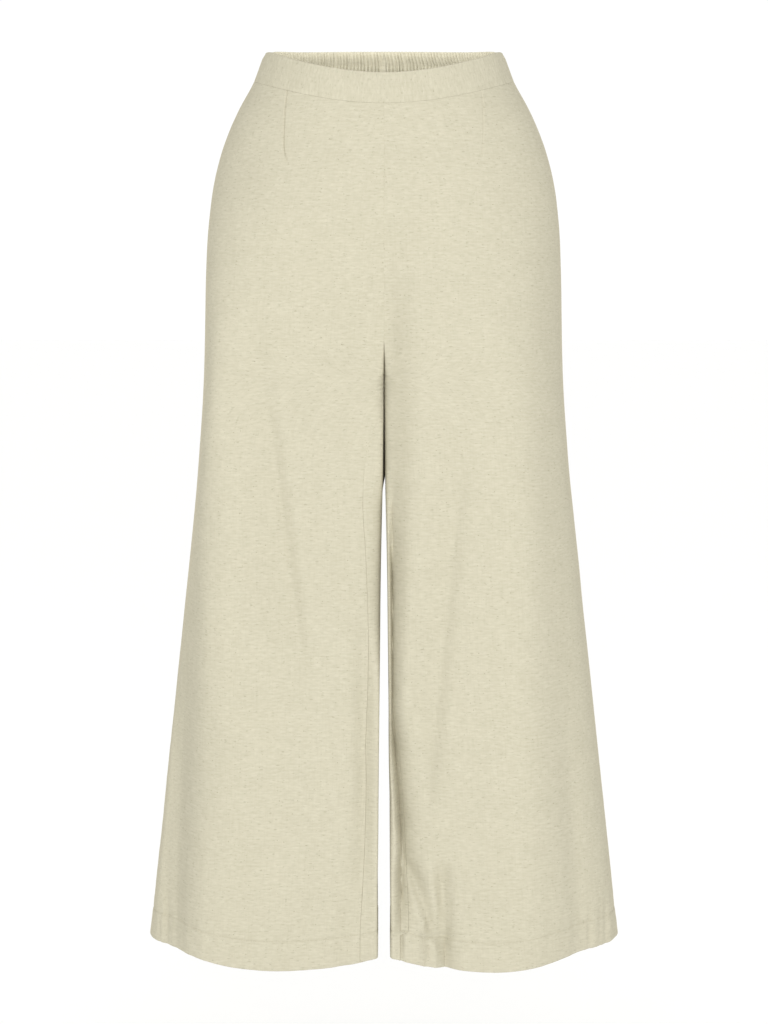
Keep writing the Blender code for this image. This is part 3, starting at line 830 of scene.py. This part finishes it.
# Puckers of the stitched hem, in mm, strongest near its ends. Each triple is a mound's height,
# place and reach: up the hem, for the share of that along it, and for the stitches' groove.
hemPuckers = {
    "up": (2.8, 20.0, 26.0),
    "length": 15.0,
    "seedShift": 40.0,
    "everywhere": 0.12,
    "inner": {"right": (0.2, 40.0, 26.0), "left": (0.8, 40.0, 26.0)},
    "side": (0.6, 66.0, 34.0),
    "groove": (-0.7, 0.0, 1.4),
    "step": 0.35,  # over the turned-up edge,
    "stepEnd": -2.4,  # whole this far below the stitches
}


# Height of the cloth near the hem: a drift along it times mounds up it and along it, plus the
# groove of its stitches and a ramp for the step.
def hemRelief(at, side, seed):
    size = hemPuckers
    ends = size["everywhere"] + mound(at["x"], *size["inner"][side]) + mound(at["fromSide"], *size["side"])
    ripple = drift(at["x"] + size["seedShift"] * seed, size["length"], seed + 3) * ends
    stitched = at["above"] - panelSizes["turnUp"] + panelSizes["stitchIn"]
    step = size["step"] * ramp(stitched, panelSizes["stitchIn"], size["stepEnd"])
    return mound(at["above"], *size["up"]) * ripple + mound(stitched, *size["groove"]) + step


# Gathers of a back panel, in mm: fine ones at the band run together into wider ones lower down.
panelGathers = {
    "fine": 30,
    "fineHeight": 1.7,
    "fineEnd": (26.0, 3.0),  # below the waist seam, where they end and where they are whole
    "uneven": 0.8,
    "unevenLength": 0.31,  # share of the panel's width
    "wide": 12.0,
    "wideHeight": 2.2,
    "wideStart": (-6.0, 26.0),
    "wideEnd": 105.0,
    "innerFade": 0.05,  # shares of the width over which they set in beside the seams
    "sideFade": 0.06,
}


# Height of the cloth by the gathers: the size of an uneven sine for the fine ones, plus a drift
# for the wide ones, each on ramps down the panel.
def gatherRelief(at, seed):
    size, t = panelGathers, at["t"]
    uneven = size["uneven"] * drift(t, size["unevenLength"], seed)
    fine = np.abs(np.sin(math.pi * size["fine"] * t + uneven)) * ramp(at["below"], *size["fineEnd"])
    wide = drift(t * size["wide"], 1.0, seed + 5) * ramp(at["below"], *size["wideStart"])
    wide = wide * np.maximum(1 - at["below"] / size["wideEnd"], 0.0)
    ends = ramp(t, 0.0, size["innerFade"]) * ramp(t, 1.0, 1.0 - size["sideFade"])
    return ends * (size["fineHeight"] * fine + size["wideHeight"] * wide)


# Rows of a panel: down the outside, on a sine over the fork, round the hem's fold and up the
# layer inside. Gives each row's level, how far it has turned inside, 0 to 1, how far it drops
# below its level, in radii of the fold, and the broken row numbers of the stitches.
def panelRows():
    size, grid, hem = panelSizes, panelGrid, cut["hem"]
    fold, forkStart = hem + size["foldRise"], cut["forkStart"]["front"]
    turns = np.linspace(grid["forkFirst"], 1.0, grid["forkRows"]) * cut["forkTurn"]
    fork = forkStart + (cut["crotch"] - forkStart) * np.sin(turns) / math.sin(cut["forkTurn"])
    waist = cut["waistSeam"] - grid["waistRows"]
    outside = np.concatenate((
        waist,
        np.linspace(waist[-1], forkStart, grid["seatRows"] + 1)[1:],
        fork,
        np.linspace(cut["crotch"], hem + grid["hemFrom"], grid["legRows"] + 1)[1:],
        np.linspace(hem + grid["hemFrom"], fold, grid["hemRows"] + 1)[1:],
    ))
    bend = np.linspace(0.0, math.pi, grid["bendRows"])
    inside = np.linspace(fold, hem + size["turnUp"], grid["turnUpRows"])
    stitched = hem + size["turnUp"] - size["stitchIn"]
    return {
        "outside": len(outside),
        "level": np.concatenate((outside, np.full(len(bend), fold), inside)),
        "turned": np.concatenate((np.zeros(len(outside)), bend / math.pi, np.ones(len(inside)))),
        "drop": np.concatenate((np.zeros(len(outside)), np.sin(bend), np.zeros(len(inside)))),
        "stitches": (
            np.interp(-stitched, -outside, np.arange(len(outside))),
            len(outside) + len(bend) + np.interp(stitched, inside, np.arange(len(inside))),
        ),
    }


# Columns of a panel as shares: close at the seams, on a back panel over the inner corner, and
# on a front along both sides of the dart, which they follow down to its tip and past it.
def panelShares(level, length, side, face):
    edge = panelGrid["seamColumns"] / length[:, None]
    if face == "back":
        close = np.arange(*panelGrid["cornerColumns"]) / length[:, None]
        first = 0
    else:
        close = dartShare(level, length, side)[:, None] + panelGrid["dartColumns"] / length[:, None]
        first = panelGrid["columns"][face] // 2
    last = panelGrid["columns"][face] - first
    before = (close[:, :1] - edge[:, -1:]) * np.linspace(0.0, 1.0, first + 2)[1:-1]
    after = (1 - edge[:, -1:] - close[:, -1:]) * np.linspace(0.0, 1.0, last + 2)[1:-1]
    return np.hstack((edge, edge[:, -1:] + before, close, close[:, -1:] + after, 1 - edge[:, ::-1]))


# How deep an edge has turned in at a distance from its seam, on a quarter of a circle.
def rollIn(distance, deep):
    inside = np.clip(1 - distance / panelSizes["seamRoll"], 0.0, 1.0)
    return deep * (1 - np.sqrt(1 - inside ** 2))


# Depth of a panel's edges: the deepest of its rolls at the inner seam, the side and the waist.
def seamDepths(at):
    deep, shallow = panelSizes["seamDepth"], panelSizes["centreSeamDepth"]
    innerDeep = shallow + (deep - shallow) * ramp(at["z"], *panelSizes["seamDeepens"])
    seams = np.maximum(rollIn(at["fromInner"], innerDeep), rollIn(at["fromSide"], deep))
    return np.maximum(seams, rollIn(at["below"], shallow))


# One panel with its hem: the form on the panel's rows and columns, raised by its reliefs and
# shifted by its folds, with the inner skin a cloth's thickness further in. Round the hem's fold
# both skins turn on half circles.
def addPanel(side, face, material):
    size, chart = panelSizes, charts[side, face]
    seed = size["seeds"][side] + size["seeds"][face]
    rows = panelRows()
    level, turned, drop = rows["level"], rows["turned"][:, None], rows["drop"][:, None]
    length = readChart(chart, "length", level)
    t = panelShares(level, length, side, face)
    grid = np.broadcast_to(level[:, None], t.shape)
    z = rowHeight(grid, side, face, t)
    at = {
        "x": readChart(chart, "x", z, t),
        "z": z,
        "t": t,
        "below": cut["waistSeam"] - grid,
        "above": grid - cut["hem"],
        "fromInner": t * length[:, None],
        "fromSide": (1 - t) * length[:, None],
    }
    raised = clothRelief(at, seed) + hemRelief(at, side, seed)
    if face == "front":
        off = (t - dartShare(level, length, side)[:, None]) * length[:, None]
        raised = raised + dartRelief(off, at["below"], side)
    else:
        raised = raised + gatherRelief(at, seed)
    shift = foldShift(side, at["x"], readChart(chart, "y", z, t), z)
    seams = seamDepths(at)
    outerRadius, innerRadius = size["cloth"] + size["slit"] / 2, size["slit"] / 2
    over = 1 - np.cos(turned * math.pi)
    outer = pointsAt(side, face, z, t, raised - seams - outerRadius * over, outerRadius * drop, shift)
    innerSkin = raised - seams * size["innerShare"] - size["cloth"]
    inner = pointsAt(side, face, z, t, innerSkin - innerRadius * over, innerRadius * drop, shift)
    # on the turned-up layer the weave runs on past the fold
    pastFold = np.where(turned > 0.5, at["above"] - size["foldRise"], 0.0)
    across = (t - 0.5) * length[:, None] + size["weaveShift"] * seed
    weave = np.stack((across, z - 2 * pastFold), axis=-1) * mm
    name = face + side.capitalize() + "Panel"
    piece = addShell(name, outer, inner, weave, material, size["sharp"])
    for row in rows["stitches"]:
        hemStitches[side].append(stitchRow(gridRow(outer, row), gridRow(outer - inner, row)))
    node = face + "_" + side
    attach(piece, "root")
    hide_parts(node)
    outside = slice(0, rows["outside"])


# Waistbands, in mm but for the flat size of the outer layer, which is in metres. The front one
# is flat, and the back one an elastic casing with gathers.
band = {
    "half": 190.0,  # half its length, on its curve
    "wall": 2.4,
    "seamAir": 0.12,  # between the waist seam and the band's lower edge
    "crown": 0.5,  # how far the faces bulge
    "bottomRound": 0.1,  # roundness of the lower edge, as a share of the top's
    "faceSteps": 14,
    "edgeSteps": 7,
    "frontColumns": 361,
    "stitchShare": 0.57,  # place of the casing's stitches, from the seam, 0, to the top, 1
    "seamDip": {"front": (0.2, 0.0, 0.6), "back": (0.12, 0.0, 0.6)},  # mounds above the seam
    "cornerTurn": (1.9, 0.0, 26.0),  # mound by which the top turns in at the sides,
    "cornerFrom": (0.84, 1.04),  # between these shares of the height
    "edge": {  # mounds of the top edge beside the sides: a rise, and a drop where it is worn
        "front": ((1.0, 52.0, 20.0), (-2.5, 0.0, 30.0)),
        "back": ((0.8, 36.0, 30.0), (-2.5, 0.0, 17.0)),
    },
    "edgeFrom": (0.6, 1.0),
    "waves": (0.22, 34.0, 2.0),  # height, length and seed
    "seamWaves": (0.12, 11.0, 5.0),
    "seamWaveReach": 9.0,
    "weaveStart": 300.0,
    "weaveStep": 0.4,  # added from each point of the section to the next
    "sharp": 60.0,
    "flat": {"front": (0.385, 0.034), "back": (0.46, 0.034)},
    "held": {"front": "stretched", "back": "gathered"},
    "other": {"front": "back", "back": "front"},
}


# The closed cross-section of a waistband: up the outer face, over the rounded top, down the
# inner face and round the bottom, on half circles. Gives the share of its height, the depth and
# the height added at the round ends.
def bandSection():
    radius, flat = band["wall"] / 2, np.zeros(band["faceSteps"])
    up = np.linspace(0.0, 1.0, band["faceSteps"])
    turn = np.linspace(0.0, math.pi, band["edgeSteps"] + 2)[1:-1]
    share = np.concatenate((up, np.ones(len(turn)), up[::-1], np.zeros(len(turn))))
    depth = np.concatenate((
        flat, radius * (1 - np.cos(turn)), flat + 2 * radius, radius * (1 + np.cos(turn)),
    ))
    rise = np.concatenate((
        flat, radius * np.sin(turn), flat, -band["bottomRound"] * radius * np.sin(turn),
    ))
    return share[:, None], depth[:, None], rise[:, None]


# Gathers of the back waistband, counted from its middle. The slant, the spacing and the size have
# waves with a height, a length in gathers and a seed.
gathers = {
    "count": 88,
    "steps": 11,  # columns for each
    "height": 3.3,
    "outerShare": 0.6,  # share of the height on the outer face
    "power": 0.9,
    "lean": 1.5,  # gathers that the upper part leans over by, for the whole height
    "slant": (0.1, 7.0, 3.0),
    "spacing": (0.15, 5.3, 1.0),
    "size": (0.2, 3.7, 4.0),
    "meanSize": 0.8,
    "held": (0.45, 0.0, 1.6),  # mound for the share of the height that the stitches take,
    "groove": (0.5, 0.0, 1.4),  # and for the depth of their groove
    "topLeft": 0.35,  # share of the height left at the top edge,
    "topFrom": 0.86,
    "bottomLeft": 0.55,  # and at the waist seam
    "bottomTo": 0.2,
    "sideFade": 0.08,
    "edgeWave": 0.5,  # the top edge rises over each gather
    "edgeFrom": 0.8,
}


# Lift of the cloth and rise of the top edge by the gathers: a ridge is the size of a cosine, to a
# power, times its own size, ramps up the band and what the stitches leave, less their groove.
def bandGathers(place, share, height, facing):
    number = gathers["count"] / 2 * place
    aboveStitch = share - band["stitchShare"]
    slant = waves(number, *gathers["slant"]) * aboveStitch + gathers["lean"] * np.maximum(aboveStitch, 0.0)
    phase = number + waves(number, *gathers["spacing"]) + slant
    ridge = np.abs(np.cos(math.pi * phase)) ** gathers["power"]
    size = gathers["meanSize"] + waves(number, *gathers["size"])
    top = gathers["topLeft"] + (1 - gathers["topLeft"]) * ramp(share, 1.0, gathers["topFrom"])
    bottom = gathers["bottomLeft"] + (1 - gathers["bottomLeft"]) * ramp(share, 0.0, gathers["bottomTo"])
    full = np.where(share > 0.5, top, bottom) * ramp(np.abs(place), 1.0, 1.0 - gathers["sideFade"])
    full = full * (1 - mound(aboveStitch * height, *gathers["held"]))
    lift = gathers["height"] * ridge * size * full * np.where(facing < 0, 1.0, gathers["outerShare"])
    edge = gathers["edgeWave"] * (ridge - 0.5) * ramp(share, gathers["edgeFrom"], 1.0) * size
    return lift - mound(aboveStitch * height, *gathers["groove"]), edge


# One waistband: its section carried along the form's waist, with each end closed by quads between
# opposite points of the section.
def addBand(face, material):
    radius = band["wall"] / 2
    share, depth, rise = bandSection()
    columns = band["frontColumns"] if face == "front" else gathers["count"] * gathers["steps"] + 1
    place = np.linspace(-1.0, 1.0, columns)[None]
    t, arc = np.abs(place), place * band["half"]
    fromSide = (1 - t) * band["half"]
    height = cut["bandTop"] - radius - cut["waistSeam"] - band["seamAir"]
    up = share * height
    z = cut["waistSeam"] + band["seamAir"] + up + waistOffset(face, t)
    z = z + sum(mound(fromSide, *edge) for edge in band["edge"][face]) * ramp(share, *band["edgeFrom"])
    # 1 on the outer face, -1 on the inner one
    facing = 1 - depth / radius
    puff = band["crown"] * np.sin(math.pi * share) * facing
    seam = mound(up, *band["seamDip"][face]) * (facing >= 0)
    turnedIn = mound(fromSide, *band["cornerTurn"]) * ramp(share, *band["cornerFrom"])
    if face == "front":
        lift = waves(arc, *band["waves"])
        lift = lift + waves(arc, *band["seamWaves"]) * bell(up, band["seamWaveReach"])
    else:
        lift, edgeRise = bandGathers(place, share, height, facing)
        lift = lift * facing
        z = z + edgeRise
    distance = puff + lift - seam - turnedIn - depth
    right, left = (
        pointsAt(side, face, z[:, half], t[:, half], distance[:, half], -rise)
        for side, half in (("right", place[0] <= 0), ("left", place[0] >= 0))
    )
    points = np.concatenate((right, left[:, 1:]), axis=1)
    index = np.arange(points[..., 0].size).reshape(points.shape[:2])
    following = np.roll(index, -1, axis=0)
    walls = quadsOf(index[:, :-1], index[:, 1:], following[:, 1:], following[:, :-1])
    innerStart = len(index) // 2
    there, back = index[:innerStart], index[:innerStart - 1:-1]
    start, end = (
        quadsOf(there[:-1, k], there[1:, k], back[1:, k], back[:-1, k]) for k in (0, -1)
    )
    around = np.cumsum(np.abs(np.diff(up, axis=0)) + band["weaveStep"], axis=0)
    around = np.broadcast_to(np.concatenate(([[0.0]], around)) + band["weaveStart"], index.shape)
    along = np.broadcast_to(arc, index.shape)
    # the front's grain is turned a quarter
    weave = np.stack((around, along) if face == "front" else (along, around), axis=-1) * mm
    piece = addMesh(
        "waistband" + face.capitalize(), points.reshape(-1, 3), np.concatenate((walls, start, end[:, ::-1])),
        weave.reshape(-1, 2), material, band["sharp"],
    )
    if face == "back":
        # the casing's stitches, on its outer face and, at the same height, on its inner one
        outerFace, innerFace = points[:band["faceSteps"]], points[innerStart:innerStart + band["faceSteps"]]
        outerRow = gridRow(outerFace, band["stitchShare"] * (band["faceSteps"] - 1))
        innerRow = gridRow(innerFace, (1 - band["stitchShare"]) * (band["faceSteps"] - 1))
        casingStitches.append(stitchRow(outerRow, outerRow - innerRow))
        casingStitches.append(stitchRow(innerRow, innerRow - outerRow))
    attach(piece, "root")
    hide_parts("waistband_" + face)


linen = wovenLinen("wovenLinenBlend")
for side in sides:
    for face in ("front", "back"):
        addPanel(side, face, linen)
for face in ("front", "back"):
    addBand(face, linen)
print("panels and waistbands made")
polyester = sewingThread("spunPolyesterThread")
for side in sides:
    addStitches("hemStitches" + side.capitalize(), hemStitches[side], polyester)
addStitches("casingStitches", casingStitches, polyester)
print("stitches made")

# Studio, in metres and degrees: a plain floor, even white light all round, a softbox from the
# front and a small lamp over the inside of the back waistband.
studio = {
    "floorZ": -1.11,
    "floorSize": 60.0,
    "floor": "#FDFDFC",
    "floorRoughness": 0.9,
    "world": 1.02,
    "lightColumns": ("name", "place", "aim", "size", "power"),
    "lights": (
        ("keySoftbox", (0.05, -4.5, -0.25), (0.0, 0.0, -0.4584), 1.7, 95.0),
        ("waistLamp", (0.0, -0.045, 0.045), (0.0, 0.09, 0.012), 0.16, 0.2),
    ),
    "distance": 3.0,
    "elevation": 5.0,
    "aimZ": -0.4584,
    "lens": 101.4,  # mm, as is the sensor's width
    "sensor": 36.0,
}


# A square floor of matt white paint, which gives a soft shade and no reflection.
def addFloor():
    half, z = studio["floorSize"] / 2, studio["floorZ"]
    mesh = bpy.data.meshes.new("studioFloor")
    points = [(-half, -half, z), (half, -half, z), (half, half, z), (-half, half, z)]
    mesh.from_pydata(points, [], [(0, 1, 2, 3)])
    colour, roughness = linearColour(studio["floor"]), studio["floorRoughness"]
    mesh.materials.append(startMaterial("mattPaintedFloor", Base_Color=colour, Roughness=roughness)[0])
    floor = bpy.data.objects.new("studioFloor", mesh)
    bpy.context.scene.collection.objects.link(floor)


# White light from all round, and round area lights, each turned from straight down to its aim.
def addLights():
    world = bpy.data.worlds.new("studioLight")
    world.use_nodes = True
    background = world.node_tree.nodes["Background"]
    background.inputs["Color"].default_value = (1.0, 1.0, 1.0, 1.0)
    background.inputs["Strength"].default_value = studio["world"]
    bpy.context.scene.world = world
    for row in studio["lights"]:
        lamp = dict(zip(studio["lightColumns"], row))
        light = bpy.data.lights.new(lamp["name"], "AREA")
        light.shape = "DISK"
        light.size = lamp["size"]
        light.energy = lamp["power"]
        stand = bpy.data.objects.new(lamp["name"], light)
        stand.location = lamp["place"]
        away = np.array(lamp["place"]) - np.array(lamp["aim"])
        tilt = math.acos(away[2] / np.linalg.norm(away))
        stand.rotation_euler = (tilt, 0.0, math.atan2(away[0], -away[1]))
        stand.visible_camera = False
        bpy.context.scene.collection.objects.link(stand)


# A camera that looks down by the elevation at a point on the Z axis.
def addCamera():
    camera = bpy.data.cameras.new("camera")
    camera.lens = studio["lens"]
    camera.sensor_width = studio["sensor"]
    rig = bpy.data.objects.new("camera", camera)
    tilt, distance = math.radians(studio["elevation"]), studio["distance"]
    rig.location = (0.0, -distance * math.cos(tilt), studio["aimZ"] + distance * math.sin(tilt))
    rig.rotation_euler = (math.pi / 2 - tilt, 0.0, 0.0)
    bpy.context.scene.collection.objects.link(rig)
    bpy.context.scene.camera = rig


addFloor()
addLights()
addCamera()
bpy.context.scene.view_settings.view_transform = "Standard"
print("studio set")
